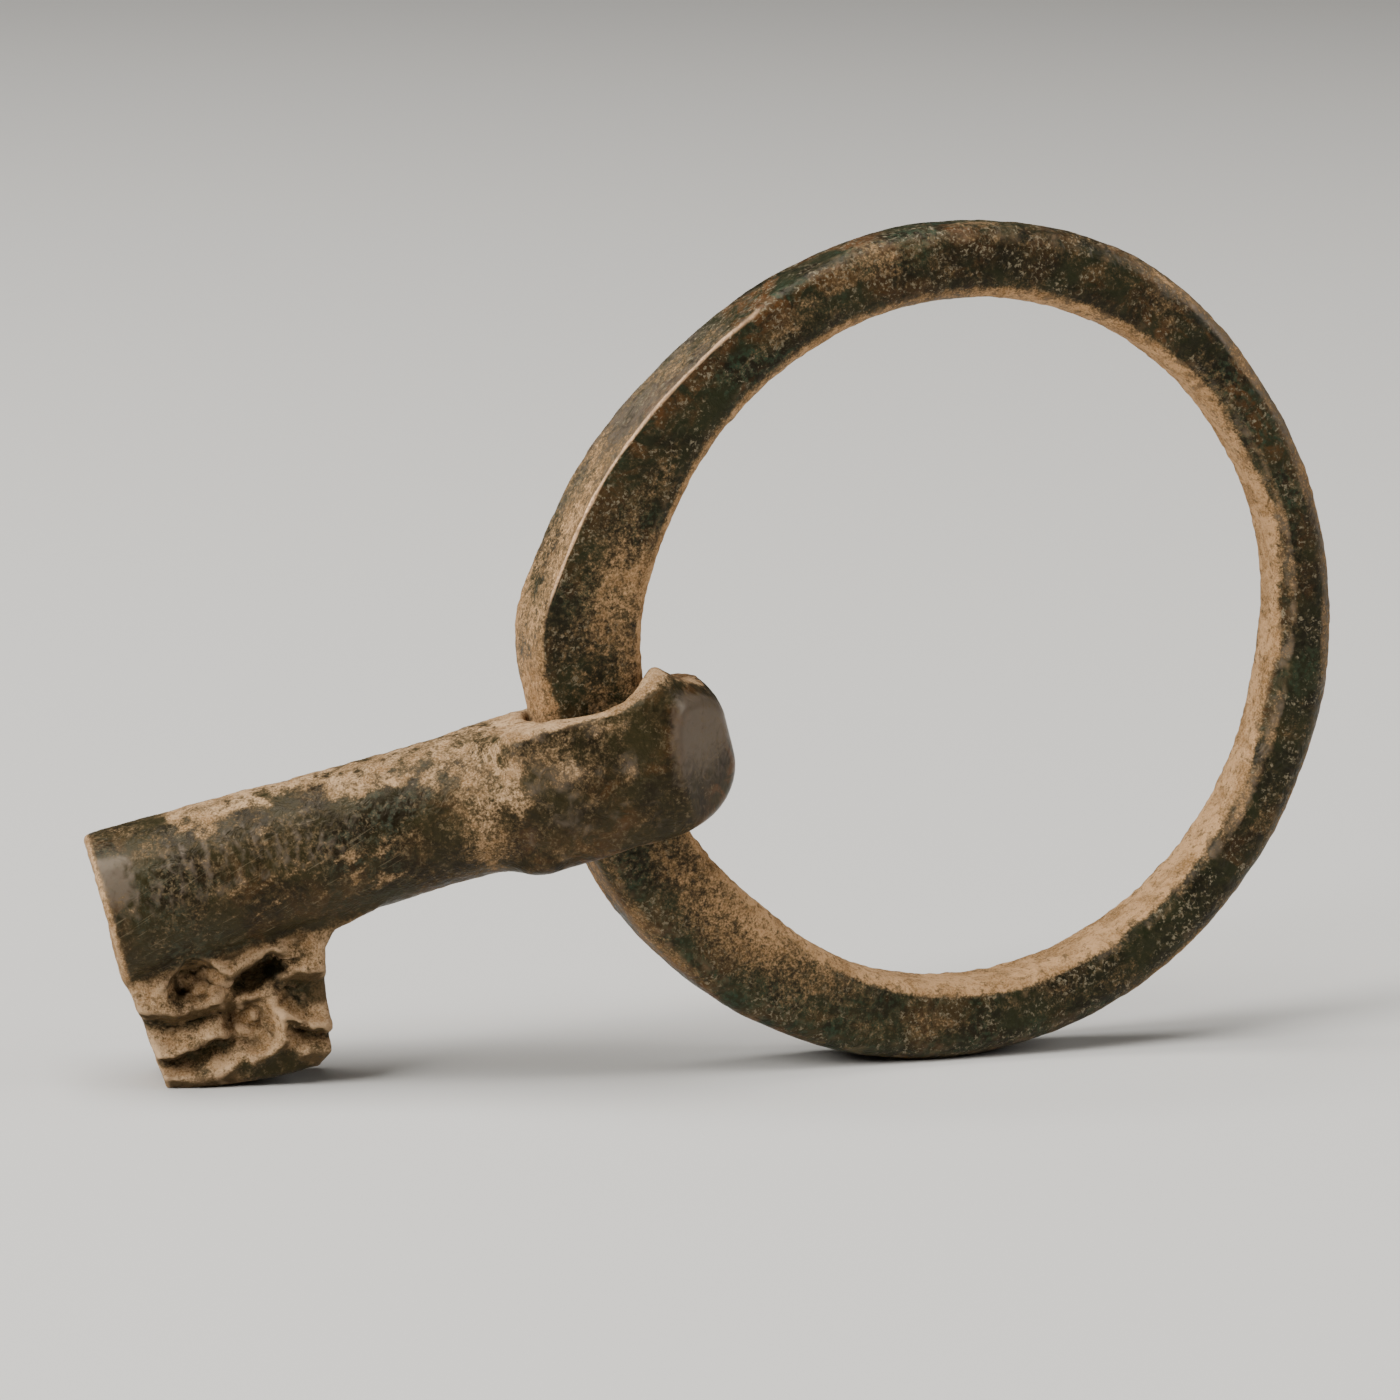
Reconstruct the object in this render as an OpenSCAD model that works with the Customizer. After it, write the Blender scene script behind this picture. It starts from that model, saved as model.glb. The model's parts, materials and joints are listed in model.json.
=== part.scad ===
// Small cast bronze pipe key threaded on a tapered hoop, standing on the hoop and on the corner of its bit.
// Millimetres, Z up. X runs from the pipe's mouth towards the hoop, Y away from the viewer.

/* [Pipe shank] */
// distance from the mouth to the middle of the eye
shank_reach = 25.4; // [23:0.1:29]
// outer diameter at the mouth
mouth_d = 7.5; // [7:0.1:8.2]
// outer diameter where the collar starts
neck_d = 7; // [6.6:0.1:7.2]
// diameter of the hollow
pipe_bore_d = 5; // [4:0.1:5.6]
// depth of the hollow, from the mouth
pipe_bore_depth = 15; // [10:0.5:15.4]

/* [Bit] */
// thickness of the plate
bit_t = 4.4; // [3.6:0.1:5]
// length along the pipe
bit_len = 9.6; // [9.4:0.1:11]
// drop below the pipe at the mouth
bit_drop = 5.2; // [5.1:0.1:6]
// drop below the pipe at the back
bit_back_drop = 6.5; // [6.3:0.1:7.2]
// set-back of the lower front corner from the mouth
bit_setback = 0.2; // [0.1:0.1:0.5]
// lean of the back edge, towards the mouth at the bottom
bit_lean = 0.9; // [0.4:0.1:1.2]
// length of the ramp that fills the back corner under the pipe
heel_len = 1.6; // [0.8:0.1:2]
// height of that ramp
heel_h = 0.9; // [0.6:0.1:1.4]

/* [Wards] */
// depth of each cut in a face of the bit
ward_depth = 1.2; // [0.8:0.1:1.4]
// diameter of the upper pit
upper_pit_d = 2.8; // [2.4:0.1:3]
// diameter of the lower pit
lower_pit_d = 2.8; // [2.4:0.1:3]
// width of the grooves that run to the front edge
groove_w = 0.7; // [0.5:0.1:0.9]
// length of those grooves
groove_len = 3.6; // [3:0.1:3.7]
// width of the slot beside the upper pit
slot_w = 0.9; // [0.7:0.1:1.1]
// length of that slot
slot_len = 2.1; // [1.6:0.1:2.3]
// diameter of the notches in the back edge
notch_d = 1.3; // [1:0.1:1.5]

/* [Collar] */
// length of the collar in front of the eye
collar_len = 1.2; // [0.8:0.1:1.8]
// diameter where it runs into the eye
collar_d = 7.3; // [7.2:0.1:7.6]

/* [Eye] */
// diameter of the eye along the pipe
eye_d = 12.7; // [12.5:0.1:14]
// thickness of the eye across its flat faces
eye_depth = 10.2; // [9.8:0.1:11]
// height of the eye along its hole
eye_h = 7.2; // [6.8:0.1:7.6]
// rounding of the outer edges
eye_round = 2.8; // [2:0.1:3]
// distance of the slanted end faces from the axis of the hole
eye_facet = 5.7; // [5.5:0.1:6.2]
// diameter of the hole for the hoop
eye_hole_d = 6.8; // [6.7:0.1:7.1]
// chamfer at both rims of the hole
rim_chamfer = 0.4; // [0.2:0.1:0.6]

/* [Hoop] */
// outer diameter
hoop_d = 42; // [40:0.1:46]
// radial thickness in the eye
hoop_t_eye = 4.7; // [4.3:0.1:4.8]
// radial thickness on the far side
hoop_t_far = 2.9; // [2.8:0.1:3.8]
// width across the hoop in the eye
hoop_w_eye = 4.6; // [4.2:0.1:4.7]
// width across the hoop on the far side
hoop_w_far = 3.3; // [3:0.1:4.2]
// rounding of its edges
hoop_round = 1.3; // [1.2:0.05:1.45]

/* [Pose] */
// angle that the key has swung out of the plane of the hoop
swing = 10; // [0:1:30]
// angle between the hoop and the axis of the hole in the eye
lie = 1; // [0:0.5:2.5]

/* [Hidden] */
$fn = 64;

mouth_r = mouth_d / 2;
neck_r = neck_d / 2;
eye_r = eye_d / 2;
hoop_r = hoop_d / 2;

// hoop section: the hole is off centre and both faces lean together away from the eye
hoop_mean_t = (hoop_t_eye + hoop_t_far) / 2;
hoop_hole_r = hoop_r - hoop_mean_t;
hoop_hole_shift = (hoop_t_eye - hoop_t_far) / 2;
hoop_half_w = (hoop_w_eye + hoop_w_far) / 4;
hoop_lean = atan((hoop_w_eye - hoop_w_far) / 2 / hoop_d);
hoop_mid_r = hoop_r - hoop_t_eye / 2;
// half of the bow of the hoop inside the eye, so that it lies midway in the hole
hoop_seat = eye_h * eye_h / 16 / hoop_mid_r;
hoop_reach = hoop_mid_r - hoop_seat;

// tilt at which the hoop and the lower front corner of the bit both meet the ground
foot_x = shank_reach - bit_setback;
foot_drop = mouth_r + bit_drop;
tilt_a = hoop_reach * cos(lie) + foot_x * cos(swing) + bit_t / 2 * sin(swing);
tilt_b = hoop_reach * sin(lie) + foot_drop;
tilt = asin(hoop_r / sqrt(tilt_a * tilt_a + tilt_b * tilt_b)) - atan2(tilt_b, tilt_a);

// the two end faces slant from the tip of the eye to its front and back
facet_angle = 45;

// place of the hoop and the eye, with the whole object centred over the origin
pipe_x = cos(swing) * cos(tilt);
eye_dx = hoop_reach * cos(tilt + lie);
mouth_dx = shank_reach * pipe_x + mouth_r * sqrt(1 - pipe_x * pipe_x);
hoop_x = (eye_dx + mouth_dx - hoop_r) / 2;
eye_flat_x = (eye_facet - eye_depth / 2 * sin(facet_angle)) / cos(facet_angle);
front_y = eye_depth / 2 * cos(swing) + eye_flat_x * sin(swing);
back_y = shank_reach * sin(swing) + mouth_r * cos(swing);
mid_y = (front_y - back_y) / 2;
eye_pos = [hoop_x - eye_dx, mid_y, hoop_r - hoop_reach * sin(tilt + lie)];

// stations along the pipe, counted from the axis of the hole
mouth_x = -shank_reach;
neck_x = -eye_r - collar_len;
collar_end_x = -eye_hole_d / 2 - rim_chamfer;
// the plate's root is hidden inside the pipe's outline
bit_root = 0.6;
bit_top_z = -neck_r * bit_root;

// ward layout: distance from the mouth, distance below the pipe
upper_pit = [3.3, 0.95];
lower_pit = [5.4, 3.5];
slot_at = [6.5, 0.85];
slot_angle = 8;
upper_groove = [0, 1.95];
lower_groove = [0, 4.3];
upper_groove_angle = -9;
lower_groove_angle = 5;
upper_notch = [8.7, 2.65];
lower_notch = [8.7, 5.05];
// overshoot of a cut beyond the face it opens
past = 1;

module key_frame() {
    translate(eye_pos)
        rotate([0, -tilt, 0])
            rotate([0, 0, -swing])
                children();
}

module pipe_outside() {
    translate([mouth_x, 0, 0])
        rotate([0, 90, 0])
            cylinder(h = neck_x - mouth_x, r1 = mouth_r, r2 = neck_r);
}

module eye_outside() {
    intersection() {
        rotate_extrude() {
            translate([0, -eye_h / 2])
                square([eye_r - eye_round, eye_h]);
            translate([0, eye_round - eye_h / 2])
                square([eye_r, eye_h - 2 * eye_round]);
            translate([eye_r - eye_round, eye_h / 2 - eye_round])
                circle(r = eye_round);
            translate([eye_r - eye_round, eye_round - eye_h / 2])
                circle(r = eye_round);
        }
        cube([2 * eye_d, eye_depth, 2 * eye_h], center = true);
        facet_limit(facet_angle);
        facet_limit(-facet_angle);
    }
}

// what an end face leaves of the eye
module facet_limit(angle) {
    rotate([0, 0, angle])
        translate([-2 * eye_d, -2 * eye_d, -eye_h])
            cube([2 * eye_d + eye_facet, 4 * eye_d, 2 * eye_h]);
}

// the pipe, open at the mouth and closed before the collar
module shank() {
    color("#5f563c")
        key_frame()
            difference() {
                pipe_outside();
                translate([mouth_x - past, 0, 0])
                    rotate([0, 90, 0])
                        cylinder(h = pipe_bore_depth + past, d = pipe_bore_d);
            }
}

// moves a cut to its place in a face of the bit
module ward_at(p, angle = 0) {
    translate([mouth_x + p[0], 0, -mouth_r - p[1]])
        rotate([0, -angle, 0])
            children();
}

module ward_pit(p, d) {
    ward_at(p)
        translate([0, bit_t / 2 + past, 0])
            rotate([90, 0, 0])
                cylinder(h = ward_depth + past, d = d);
}

module ward_bar(p, angle, from, len, w) {
    ward_at(p, angle)
        translate([from, bit_t / 2 - ward_depth, -w / 2])
            cube([len, ward_depth + past, w]);
}

module ward_cuts() {
    ward_pit(upper_pit, upper_pit_d);
    ward_pit(lower_pit, lower_pit_d);
    ward_pit(upper_notch, notch_d);
    ward_pit(lower_notch, notch_d);
    ward_bar(slot_at, slot_angle, -slot_len / 2, slot_len, slot_w);
    ward_bar(upper_groove, upper_groove_angle, -past, groove_len + past, groove_w);
    ward_bar(lower_groove, lower_groove_angle, -past, groove_len + past, groove_w);
}

// the flared plate under the mouth, with the same wards in both faces
module bit() {
    color("#86744f")
        key_frame()
            difference() {
                rotate([90, 0, 0])
                    linear_extrude(height = bit_t, center = true)
                        polygon([
                            [mouth_x, bit_top_z],
                            [mouth_x + bit_setback, -mouth_r - bit_drop],
                            [mouth_x + bit_len - bit_lean, -mouth_r - bit_back_drop],
                            [mouth_x + bit_len, -mouth_r - heel_h],
                            [mouth_x + bit_len + heel_len, bit_top_z]
                        ]);
                pipe_outside();
                ward_cuts();
                mirror([0, 1, 0])
                    ward_cuts();
            }
}

// the shoulder that flares from the pipe into the eye
module collar() {
    color("#77694a")
        key_frame()
            difference() {
                translate([neck_x, 0, 0])
                    rotate([0, 90, 0])
                        cylinder(h = collar_end_x - neck_x, d1 = neck_d, d2 = collar_d);
                eye_outside();
            }
}

module rim_cut() {
    translate([0, 0, eye_h / 2 - rim_chamfer])
        cylinder(h = 2 * rim_chamfer, d1 = eye_hole_d, d2 = eye_hole_d + 4 * rim_chamfer);
}

// the thick loop, flat at front and back, with the hole for the hoop
module eye() {
    color("#544c39")
        key_frame()
            difference() {
                eye_outside();
                cylinder(h = 2 * eye_h, d = eye_hole_d, center = true);
                rim_cut();
                mirror([0, 0, 1])
                    rim_cut();
            }
}

// one face of the hoop, from its middle plane outwards
module hoop_half() {
    intersection() {
        rotate([0, hoop_lean, 0])
            difference() {
                rotate_extrude() {
                    translate([0, -hoop_half_w])
                        square([hoop_r - hoop_round, 2 * hoop_half_w]);
                    translate([0, -hoop_half_w])
                        square([hoop_r, 2 * hoop_half_w - hoop_round]);
                    translate([hoop_r - hoop_round, hoop_half_w - hoop_round])
                        circle(r = hoop_round);
                }
                translate([hoop_hole_shift, 0, 0])
                    rotate_extrude() {
                        translate([0, -hoop_d])
                            square([hoop_hole_r, 2 * hoop_d]);
                        difference() {
                            translate([0, hoop_half_w - hoop_round])
                                square([hoop_hole_r + hoop_round, 2 * hoop_round]);
                            translate([hoop_hole_r + hoop_round, hoop_half_w - hoop_round])
                                circle(r = hoop_round);
                        }
                    }
            }
        translate([-hoop_d, -hoop_d, 0])
            cube([2 * hoop_d, 2 * hoop_d, hoop_d]);
    }
}

// the tapered hoop, thickest where it runs through the eye
module ring() {
    color("#6a5f45")
        translate([hoop_x, mid_y, hoop_r])
            rotate([0, -tilt - lie, 0])
                rotate([90, 0, 0]) {
                    hoop_half();
                    mirror([0, 0, 1])
                        hoop_half();
                }
}

shank();
bit();
collar();
eye();
ring();
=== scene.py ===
import json
import math

import bpy
import numpy as np
from mathutils import Matrix, Vector, noise


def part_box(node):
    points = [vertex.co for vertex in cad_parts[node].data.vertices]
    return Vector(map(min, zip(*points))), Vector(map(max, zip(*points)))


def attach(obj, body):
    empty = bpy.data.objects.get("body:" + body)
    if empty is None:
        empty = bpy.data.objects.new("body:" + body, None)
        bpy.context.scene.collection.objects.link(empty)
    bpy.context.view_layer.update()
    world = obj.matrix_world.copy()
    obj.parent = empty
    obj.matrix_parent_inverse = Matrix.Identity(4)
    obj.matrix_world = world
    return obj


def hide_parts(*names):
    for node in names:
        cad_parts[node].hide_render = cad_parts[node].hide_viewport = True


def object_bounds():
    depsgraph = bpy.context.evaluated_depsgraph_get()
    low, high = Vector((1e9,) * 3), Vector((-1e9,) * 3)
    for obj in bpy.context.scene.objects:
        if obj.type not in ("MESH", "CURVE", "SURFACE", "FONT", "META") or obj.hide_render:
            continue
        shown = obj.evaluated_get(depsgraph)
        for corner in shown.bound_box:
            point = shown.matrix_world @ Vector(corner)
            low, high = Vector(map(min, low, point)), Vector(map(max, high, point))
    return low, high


# A small bronze pipe key on its loose ring. Pieces are shaped in mm and placed in the frame's metres.
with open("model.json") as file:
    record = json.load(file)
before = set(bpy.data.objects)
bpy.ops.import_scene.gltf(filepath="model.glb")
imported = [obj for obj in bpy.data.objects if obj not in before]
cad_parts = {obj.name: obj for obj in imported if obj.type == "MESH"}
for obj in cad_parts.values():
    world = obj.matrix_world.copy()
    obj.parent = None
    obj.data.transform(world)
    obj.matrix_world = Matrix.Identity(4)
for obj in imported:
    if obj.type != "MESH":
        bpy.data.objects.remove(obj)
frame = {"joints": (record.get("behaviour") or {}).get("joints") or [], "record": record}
cadLow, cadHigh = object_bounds()
mm = 0.001
hinge = frame["joints"][0]
pipeBore = next(m for m in frame["record"]["mounts"] if m["name"] == "pipe_bore")
eyeCentre = Vector(hinge["pos_m"])
pipeDirection = -Vector(pipeBore["axis"]).normalized()    # from the mouth to the eye
holeDirection = Vector(hinge["axis"]).normalized()
keyAxes = np.array([pipeDirection, holeDirection.cross(pipeDirection), holeDirection])
print("frame: key hung at", [round(c / mm, 2) for c in eyeCentre], "mm")


# Shaping tools, in mm: soft joins and cuts of distance fields, fades, spots, outlines and noise

def softJoin(a, b, soft):
    h = np.clip(0.5 + 0.5 * (b - a) / soft, 0, 1)
    return b * (1 - h) + a * h - soft * h * (1 - h)


def softKeep(a, b, soft):
    return -softJoin(-a, -b, soft)


def softStep(low, high, value):
    t = np.clip((value - low) / (high - low), 0, 1)
    return t * t * (3 - 2 * t)


def between(value, start, full, fade, gone):
    return softStep(start, full, value) * softStep(gone, fade, value)


def spot(a, b, place):
    atA, spreadA, atB, spreadB = place
    return np.exp(-((a - atA) / spreadA) ** 2 - ((b - atB) / spreadB) ** 2)


def pathDistance(u, w, path):
    best = np.full(u.shape, 1e9)
    for (au, aw), (bu, bw) in zip(path, path[1:]):
        du, dw = bu - au, bw - aw
        t = np.clip(((u - au) * du + (w - aw) * dw) / (du * du + dw * dw), 0, 1)
        best = np.minimum(best, np.hypot(u - au - t * du, w - aw - t * dw))
    return best


def outlineDistance(u, w, outline):
    inside = np.zeros(u.shape, bool)
    closed = outline + outline[:1]
    for (au, aw), (bu, bw) in zip(closed, closed[1:]):
        rise = bw - aw if bw != aw else 1e-9
        inside ^= ((aw > w) != (bw > w)) & (u < au + (w - aw) * (bu - au) / rise)
    away = pathDistance(u, w, closed)
    return np.where(inside, -away, away)


def knob(p, centre, size):
    return (np.linalg.norm((p - np.array(centre)) / np.array(size), axis=1) - 1) * min(size)


def grain(points, size, seed, octaves):      # seed moves the pattern
    return np.array([noise.fractal(Vector(p), 0.9, 2.0, octaves) for p in points / size + seed])


def pocks(points, size, seed):
    return np.array([noise.voronoi(Vector(p))[0][0] for p in points / size + seed])


# A closed skin of even quads over a distance field

def skinOf(field, low, high, step):
    coarse = 4      # grid steps between the first, rough samples
    low, high = np.array(low, float), np.array(high, float)
    count = np.ceil((high - low) / step / coarse).astype(int) * coarse + 1
    lines = [low[i] + step * np.arange(count[i]) for i in range(3)]
    grid = np.stack(np.meshgrid(*lines, indexing="ij"), -1)
    some, kept = slice(None, None, coarse), slice(1, 2 - coarse)
    rough = field(grid[some, some, some].reshape(-1, 3)).reshape((count - 1) // coarse + 1)
    value = rough.repeat(coarse, 0).repeat(coarse, 1).repeat(coarse, 2)[kept, kept, kept]
    near = np.abs(value) < 9 * step     # only cells close to the surface are worked out finely
    value[near] = field(grid[near])
    inside = value < 0
    for axis in [0, 1, 2] * 4:      # fill corners that meet only edge to edge, so the skin stays closed
        turned = np.moveaxis(inside, axis, 2)
        a, b, c, d = turned[:-1, :-1], turned[1:, 1:], turned[1:, :-1], turned[:-1, 1:]
        first, second = a & b & ~c & ~d, c & d & ~a & ~b
        c |= first
        a |= second
    value[inside & (value >= 0)] = -0.01 * step
    # one point in each cell that the surface crosses, in the middle of its crossings
    cells = tuple(count - 1)
    corners = [np.array(((i >> 2) & 1, (i >> 1) & 1, i & 1)) for i in range(8)]
    views = [inside[c[0]:c[0] + cells[0], c[1]:c[1] + cells[1], c[2]:c[2] + cells[2]] for c in corners]
    filled = sum(v.astype(np.int8) for v in views)
    mixed = (filled > 0) & (filled < 8)
    active = np.argwhere(mixed)
    cellId = np.full(cells, -1)
    cellId[mixed] = np.arange(len(active))
    total, hits = np.zeros((len(active), 3)), np.zeros((len(active), 1))
    for a, b in [(a, a | bit) for a in range(8) for bit in (1, 2, 4) if not a & bit]:
        va = value[tuple((active + corners[a]).T)]
        vb = value[tuple((active + corners[b]).T)]
        cut = (va < 0) != (vb < 0)
        t = np.where(cut, va / np.where(cut, va - vb, 1), 0)
        total += cut[:, None] * (corners[a] + t[:, None] * (corners[b] - corners[a]))
        hits += cut[:, None]
    points = low + step * (active + total / hits)
    # one quad round each grid line that the surface crosses
    faces = []
    for axis in range(3):
        lower = np.take(inside, range(count[axis] - 1), axis)
        upper = np.take(inside, range(1, count[axis]), axis)
        edges = np.argwhere(lower != upper)
        eb, ec = np.eye(3, dtype=int)[(axis + 1) % 3], np.eye(3, dtype=int)[(axis + 2) % 3]
        loop = np.stack([cellId[tuple((edges - s).T)] for s in (eb + ec, ec, 0 * eb, eb)], 1)
        faces.append(np.where(lower[tuple(edges.T)][:, None], loop, loop[:, ::-1]))
    for _ in range(3):      # draw the points onto the surface, a little at a time
        points = points - slope(field, points) * np.clip(0.8 * field(points), -0.08, 0.08)[:, None]
    return points, np.concatenate(faces)


def slope(field, points, reach=0.03):
    grad = np.empty_like(points)
    for i in range(3):
        shift = np.eye(3)[i] * reach
        grad[:, i] = field(points + shift) - field(points - shift)
    return grad / np.maximum(np.linalg.norm(grad, axis=1, keepdims=True), 1e-9)


# What a finish follows on a skin: normals, hollows and ridges

def edgesOf(faces):
    pairs = np.concatenate([faces[:, [i, (i + 1) % 4]] for i in range(4)])
    return np.unique(np.sort(pairs, axis=1), axis=0)


def normalsOf(points, faces):
    across = np.cross(points[faces[:, 2]] - points[faces[:, 0]], points[faces[:, 3]] - points[faces[:, 1]])
    normals = np.zeros_like(points)
    for i in range(3):
        for k in range(4):
            normals[:, i] += np.bincount(faces[:, k], across[:, i], len(points))
    return normals / np.maximum(np.linalg.norm(normals, axis=1, keepdims=True), 1e-12)


def smoothed(values, edges, rounds):
    a, b = edges.T
    values = values.copy()
    degree = np.bincount(edges.ravel(), minlength=len(values))
    for _ in range(rounds):
        for v in values.T:
            beside = np.bincount(a, v[b], len(v)) + np.bincount(b, v[a], len(v))
            v[:] = 0.4 * v + 0.6 * beside / degree
    return values


def hollows(points, edges, normals, rounds):
    return ((smoothed(points, edges, rounds) - points) * normals).sum(1)     # below 0 on ridges


weathering = {                   # heights and sizes in mm
    "swell": (0.07, 5.0),        # slow unevenness of the cast skin
    "ripple": (0.035, 1.7),
    "grit": (0.012, 0.55),
    "soilHeight": 0.05,          # how much thicker and rougher soil is
    "pit": (0.05, 0.9),          # corrosion pits, in clusters
    "pitCluster": 3.0,
}


def weather(points, faces, crust, smooth, seed):
    swell, swellMm = weathering["swell"]
    ripple, rippleMm = weathering["ripple"]
    grit, gritMm = weathering["grit"]
    pit, pitMm = weathering["pit"]
    thick = weathering["soilHeight"] * crust
    uneven = swell * grain(points, swellMm, seed, 2) + ripple * grain(points, rippleMm, seed + 3, 2)
    gritty = (grit + thick) * grain(points, gritMm, seed + 5, 2) + thick
    cluster = softStep(0.0, 0.5, grain(points, weathering["pitCluster"], seed + 7, 2))
    pitted = softStep(0.35, 0.05, pocks(points, pitMm, seed)) * cluster
    moved = (uneven + gritty - pit * pitted * (1 - crust)) * (1 - smooth)
    return points + normalsOf(points, faces) * moved[:, None]


def makePiece(name, points, faces, facts, body, nodes, material):
    mesh = bpy.data.meshes.new(name)
    mesh.from_pydata((points * mm).tolist(), [], faces.tolist())
    for fact, values in facts.items():
        layer = mesh.attributes.new(fact, "FLOAT", "POINT")
        layer.data.foreach_set("value", np.clip(values, 0, 1).astype(np.float32))
    mesh.polygons.foreach_set("use_smooth", np.ones(len(mesh.polygons), bool))
    mesh.materials.append(material)
    piece = bpy.data.objects.new(name, mesh)
    bpy.context.scene.collection.objects.link(piece)
    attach(piece, body)
    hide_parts(*nodes)
    print("piece:", name, len(points), "points,", len(faces), "faces")


# Materials

def linear(hexColour):
    parts = [int(hexColour[i:i + 2], 16) / 255 for i in (1, 3, 5)]
    return [p / 12.92 if p <= 0.04045 else ((p + 0.055) / 1.055) ** 2.4 for p in parts] + [1.0]


def addNode(tree, kind, settings, inputs, output=0):
    node = tree.nodes.new(kind)
    for name, value in settings.items():
        setattr(node, name, value)
    for name, value in inputs.items():
        if isinstance(value, bpy.types.NodeSocket):
            tree.links.new(value, node.inputs[name])
        else:
            node.inputs[name].default_value = value
    return node.outputs[output] if len(node.outputs) else node


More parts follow.
